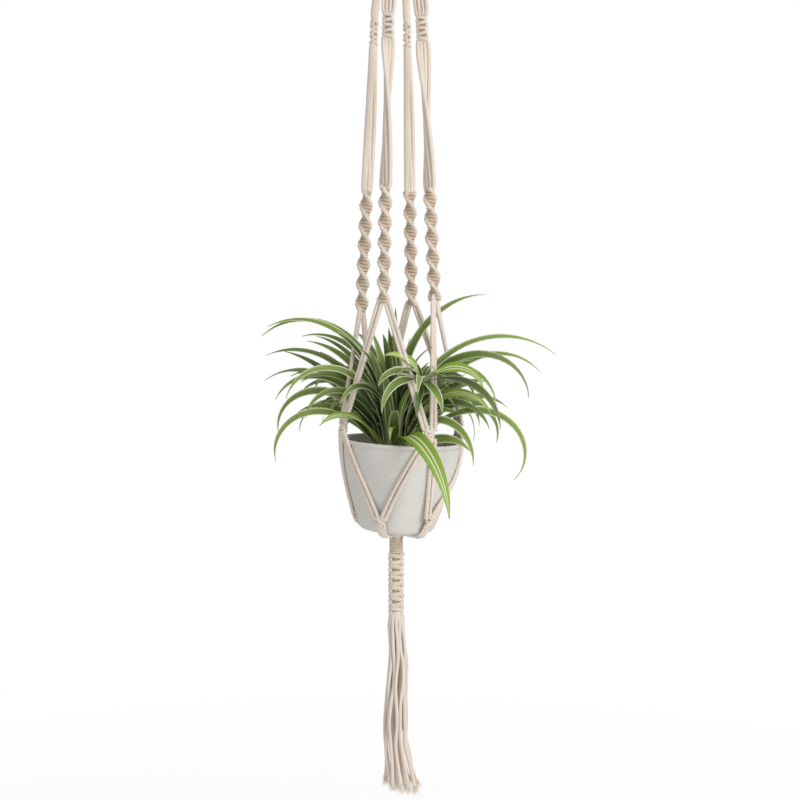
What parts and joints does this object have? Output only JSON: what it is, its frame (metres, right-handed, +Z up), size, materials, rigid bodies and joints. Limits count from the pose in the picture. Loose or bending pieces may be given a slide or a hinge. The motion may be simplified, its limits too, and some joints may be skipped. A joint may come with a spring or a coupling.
{
  "type": "macrame planter hanger",
  "caption": "Knotted cotton cord plant hanger on a metal ring, with spiral arms, a net round a tilted ceramic pot with a spider plant, a bound tail and a long tassel.",
  "frame": {"origin": "inside top of the hanging ring, where a hook's lowest point bears on it", "axes": "+Z up along the hanger, front (the side facing the viewer) towards -Y, +X to the right seen from the front"},
  "size_m": [0.3387, 0.2649, 1.1275],
  "materials": {
    "cotton_cord": "natural unbleached braided cotton cord",
    "ring_steel": "plain satin steel wire",
    "pot_ceramic": "matt off-white with fine combed ribs",
    "soil": "damp dark potting soil, loose",
    "leaf_green": "living spider plant leaf, green with pale margins"
  },
  "bodies": {
    "ring": {"hanging_ring": "ring_steel"},
    "hanger": {"ring_loops": "cotton_cord", "top_wrap": "cotton_cord", "upper_cords": "cotton_cord", "square_sinnet_right": "cotton_cord", "long_cords_right": "cotton_cord", "spiral_sinnet_right": "cotton_cord", "branch_cords_right": "cotton_cord", "square_sinnet_back": "cotton_cord", "long_cords_back": "cotton_cord", "spiral_sinnet_back": "cotton_cord", "branch_cords_back": "cotton_cord", "square_sinnet_left": "cotton_cord", "long_cords_left": "cotton_cord", "spiral_sinnet_left": "cotton_cord", "branch_cords_left": "cotton_cord", "square_sinnet_front": "cotton_cord", "long_cords_front": "cotton_cord", "spiral_sinnet_front": "cotton_cord", "branch_cords_front": "cotton_cord", "rim_knot_front_left": "cotton_cord", "rim_knot_front_right": "cotton_cord", "rim_knot_back_right": "cotton_cord", "rim_knot_back_left": "cotton_cord", "cradle_cords_front_left": "cotton_cord", "cradle_cords_front_right": "cotton_cord", "cradle_cords_back_right": "cotton_cord", "cradle_cords_back_left": "cotton_cord", "base_knot_right": "cotton_cord", "base_knot_back": "cotton_cord", "base_knot_left": "cotton_cord", "base_knot_front": "cotton_cord", "base_cords": "cotton_cord", "base_gather": "cotton_cord", "pot": "pot_ceramic", "soil": "soil", "crown": "leaf_green", "leaves_left": "leaf_green", "leaves_right": "leaf_green", "leaves_front": "leaf_green", "leaves_back": "leaf_green"},
    "tail": {"tail_wrap": "cotton_cord", "tail_sinnet": "cotton_cord"},
    "tassel": {"tassel_head": "cotton_cord", "tassel_strand_01": "cotton_cord", "tassel_strand_02": "cotton_cord", "tassel_strand_03": "cotton_cord", "tassel_strand_04": "cotton_cord", "tassel_strand_05": "cotton_cord", "tassel_strand_06": "cotton_cord", "tassel_strand_07": "cotton_cord", "tassel_strand_08": "cotton_cord", "tassel_strand_09": "cotton_cord", "tassel_strand_10": "cotton_cord", "tassel_strand_11": "cotton_cord", "tassel_strand_12": "cotton_cord", "tassel_strand_13": "cotton_cord", "tassel_strand_14": "cotton_cord", "tassel_strand_15": "cotton_cord", "tassel_strand_16": "cotton_cord"}
  },
  "joints": [
    {"name": "hanger_swing", "type": "hinge", "parent": "ring", "child": "hanger", "pos_m": [0, 0, -0.0425], "axis": [0.9136, 0.4067, 0], "range_deg": [-35, 35]},
    {"name": "tail_swing", "type": "hinge", "parent": "hanger", "child": "tail", "pos_m": [-0.0021, 0, -0.8344], "axis": [0, 1, 0], "range_deg": [-25, 25]},
    {"name": "tassel_swing", "type": "hinge", "parent": "tail", "child": "tassel", "pos_m": [-0.0021, 0, -0.9287], "axis": [0, 1, 0], "range_deg": [-25, 25]}
  ]
}
